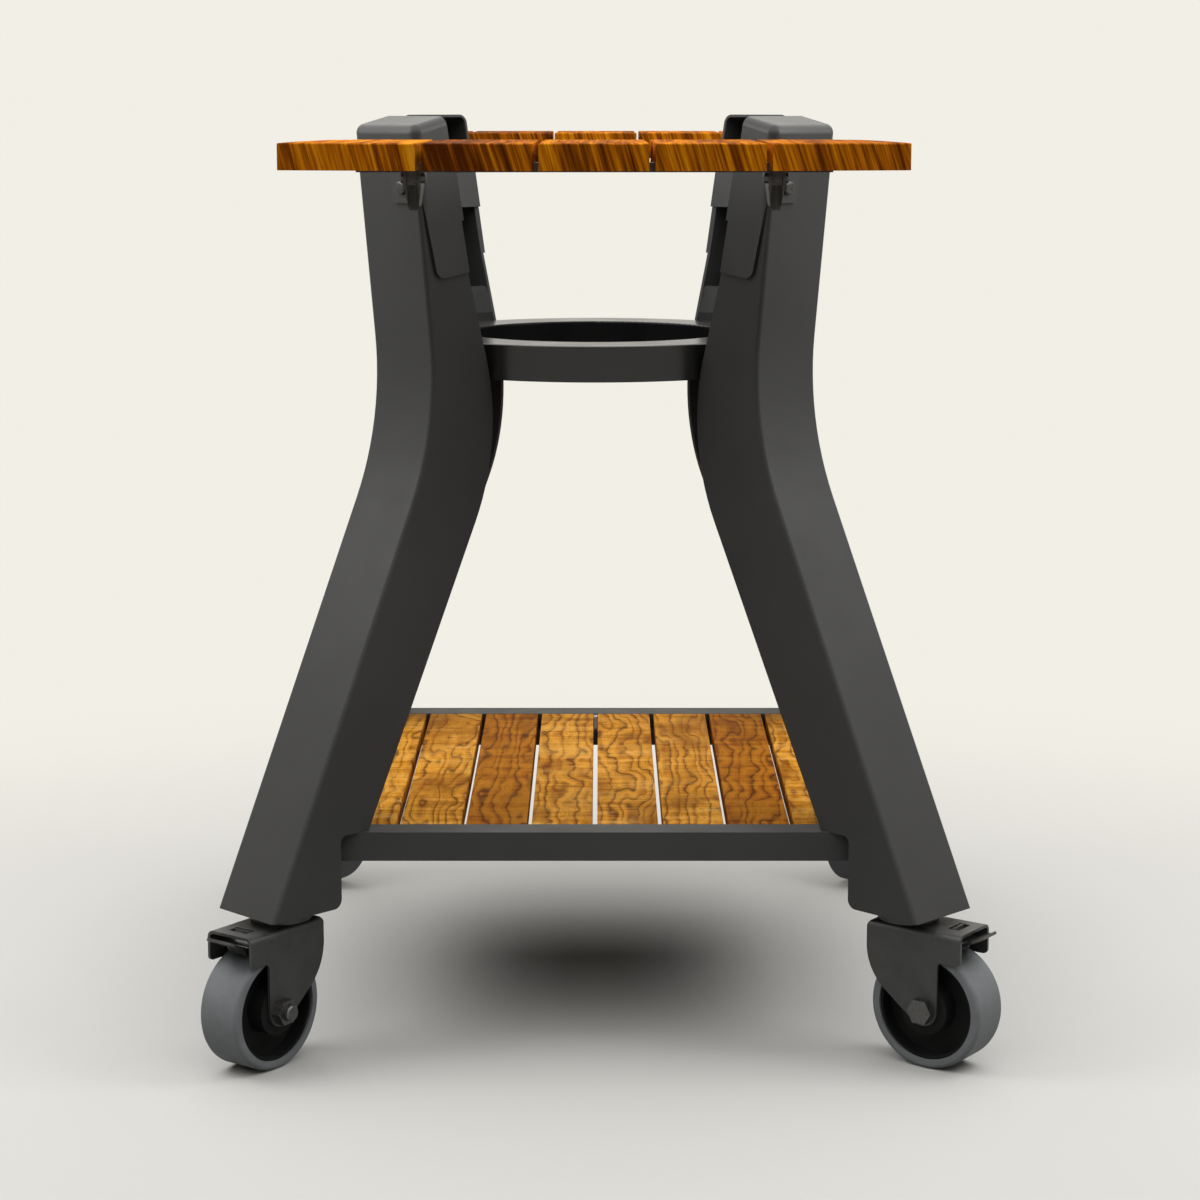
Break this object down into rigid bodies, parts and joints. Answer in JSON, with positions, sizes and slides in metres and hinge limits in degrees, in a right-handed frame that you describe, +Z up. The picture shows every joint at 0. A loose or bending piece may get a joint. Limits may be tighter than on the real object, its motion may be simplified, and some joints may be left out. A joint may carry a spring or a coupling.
{
  "type": "kamado grill stand",
  "caption": "Wheeled steel stand for a kamado grill: splayed channel legs, a round support ring, slatted fold-down side shelves and a slatted lower shelf.",
  "frame": {"origin": "on the floor under the middle of the stand", "axes": "+Z up, +Y from the front shelf to the rear shelf, +X to the right seen from the front"},
  "size_m": [0.6854, 0.9922, 0.7935],
  "materials": {
    "powder_coat": "dark grey satin powder coat",
    "bracket_steel": "dark grey coated sheet",
    "shelf_wood": "oiled orange-brown hardwood with dark streaks",
    "base_wood": "oiled honey-coloured hardwood with wavy figure",
    "tread": "grey soft-rubber tread",
    "wheel_core": "black moulded plastic",
    "caster_steel": "dark coated pressed steel",
    "zinc": "plain zinc-plated steel"
  },
  "bodies": {
    "frame": {"bracket_bolts": "zinc", "caster_plates": "caster_steel", "hinge_pins": "zinc", "leg_cap_front_left": "powder_coat", "leg_cap_front_right": "powder_coat", "leg_cap_rear_left": "powder_coat", "leg_cap_rear_right": "powder_coat", "leg_front_left": "powder_coat", "leg_front_right": "powder_coat", "leg_rear_left": "powder_coat", "leg_rear_right": "powder_coat", "lower_plank_screws": "zinc", "lower_planks": "base_wood", "lower_rail_front": "powder_coat", "lower_rail_left": "powder_coat", "lower_rail_rear": "powder_coat", "lower_rail_right": "powder_coat", "plank_clip": "zinc", "plank_ledges": "powder_coat", "ring_bolts": "zinc", "ring_brackets": "powder_coat", "shelf_bracket_front_left": "bracket_steel", "shelf_bracket_front_right": "bracket_steel", "shelf_bracket_rear_left": "bracket_steel", "shelf_bracket_rear_right": "bracket_steel", "support_ring": "powder_coat"},
    "front_shelf": {"front_shelf_frame": "bracket_steel", "front_shelf_plank_1": "shelf_wood", "front_shelf_plank_2": "shelf_wood", "front_shelf_plank_3": "shelf_wood", "front_shelf_plank_4": "shelf_wood", "front_shelf_plank_5": "shelf_wood", "front_shelf_screws": "zinc"},
    "rear_shelf": {"rear_shelf_frame": "bracket_steel", "rear_shelf_plank_1": "shelf_wood", "rear_shelf_plank_2": "shelf_wood", "rear_shelf_plank_3": "shelf_wood", "rear_shelf_plank_4": "shelf_wood", "rear_shelf_plank_5": "shelf_wood", "rear_shelf_screws": "zinc"},
    "caster_front_left": {"caster_fork_front_left": "caster_steel", "caster_axle_front_left": "caster_steel"},
    "wheel_front_left": {"wheel_core_front_left": "wheel_core", "wheel_tyre_front_left": "tread"},
    "pedal_front_left": {"brake_pedal_front_left": "caster_steel"},
    "caster_front_right": {"caster_fork_front_right": "caster_steel", "caster_axle_front_right": "caster_steel"},
    "wheel_front_right": {"wheel_core_front_right": "wheel_core", "wheel_tyre_front_right": "tread"},
    "pedal_front_right": {"brake_pedal_front_right": "caster_steel"},
    "caster_rear_right": {"caster_fork_rear_right": "caster_steel", "caster_axle_rear_right": "caster_steel"},
    "wheel_rear_right": {"wheel_core_rear_right": "wheel_core", "wheel_tyre_rear_right": "tread"},
    "pedal_rear_right": {"brake_pedal_rear_right": "caster_steel"},
    "caster_rear_left": {"caster_fork_rear_left": "caster_steel", "caster_axle_rear_left": "caster_steel"},
    "wheel_rear_left": {"wheel_core_rear_left": "wheel_core", "wheel_tyre_rear_left": "tread"},
    "pedal_rear_left": {"brake_pedal_rear_left": "caster_steel"}
  },
  "joints": [
    {"name": "front_shelf_fold", "type": "hinge", "parent": "frame", "child": "front_shelf", "pos_m": [0, -0.25005, 0.745], "axis": [1, 0, 0], "range_deg": [0, 90]},
    {"name": "rear_shelf_fold", "type": "hinge", "parent": "frame", "child": "rear_shelf", "pos_m": [0, 0.25005, 0.745], "axis": [-1, 0, 0], "range_deg": [0, 90]},
    {"name": "caster_swivel_front_left", "type": "hinge", "parent": "frame", "child": "caster_front_left", "pos_m": [-0.2666, -0.2666, 0.1225], "axis": [0, 0, 1], "continuous": true},
    {"name": "wheel_spin_front_left", "type": "hinge", "parent": "caster_front_left", "child": "wheel_front_left", "pos_m": [-0.28364, -0.29006, 0.052], "axis": [-0.809, 0.5878, 0], "continuous": true},
    {"name": "brake_press_front_left", "type": "hinge", "parent": "caster_front_left", "child": "pedal_front_left", "pos_m": [-0.29011, -0.29896, 0.113], "axis": [0.809, -0.5878, 0], "range_deg": [0, 12]},
    {"name": "caster_swivel_front_right", "type": "hinge", "parent": "frame", "child": "caster_front_right", "pos_m": [0.2666, -0.2666, 0.1225], "axis": [0, 0, 1], "continuous": true},
    {"name": "wheel_spin_front_right", "type": "hinge", "parent": "caster_front_right", "child": "wheel_front_right", "pos_m": [0.29006, -0.28364, 0.052], "axis": [-0.5878, -0.809, 0], "continuous": true},
    {"name": "brake_press_front_right", "type": "hinge", "parent": "caster_front_right", "child": "pedal_front_right", "pos_m": [0.29896, -0.29011, 0.113], "axis": [0.5878, 0.809, 0], "range_deg": [0, 12]},
    {"name": "caster_swivel_rear_right", "type": "hinge", "parent": "frame", "child": "caster_rear_right", "pos_m": [0.2666, 0.2666, 0.1225], "axis": [0, 0, 1], "continuous": true},
    {"name": "wheel_spin_rear_right", "type": "hinge", "parent": "caster_rear_right", "child": "wheel_rear_right", "pos_m": [0.28364, 0.29006, 0.052], "axis": [0.809, -0.5878, 0], "continuous": true},
    {"name": "brake_press_rear_right", "type": "hinge", "parent": "caster_rear_right", "child": "pedal_rear_right", "pos_m": [0.29011, 0.29896, 0.113], "axis": [-0.809, 0.5878, 0], "range_deg": [0, 12]},
    {"name": "caster_swivel_rear_left", "type": "hinge", "parent": "frame", "child": "caster_rear_left", "pos_m": [-0.2666, 0.2666, 0.1225], "axis": [0, 0, 1], "continuous": true},
    {"name": "wheel_spin_rear_left", "type": "hinge", "parent": "caster_rear_left", "child": "wheel_rear_left", "pos_m": [-0.29006, 0.28364, 0.052], "axis": [0.5878, 0.809, 0], "continuous": true},
    {"name": "brake_press_rear_left", "type": "hinge", "parent": "caster_rear_left", "child": "pedal_rear_left", "pos_m": [-0.29896, 0.29011, 0.113], "axis": [-0.5878, -0.809, 0], "range_deg": [0, 12]}
  ]
}
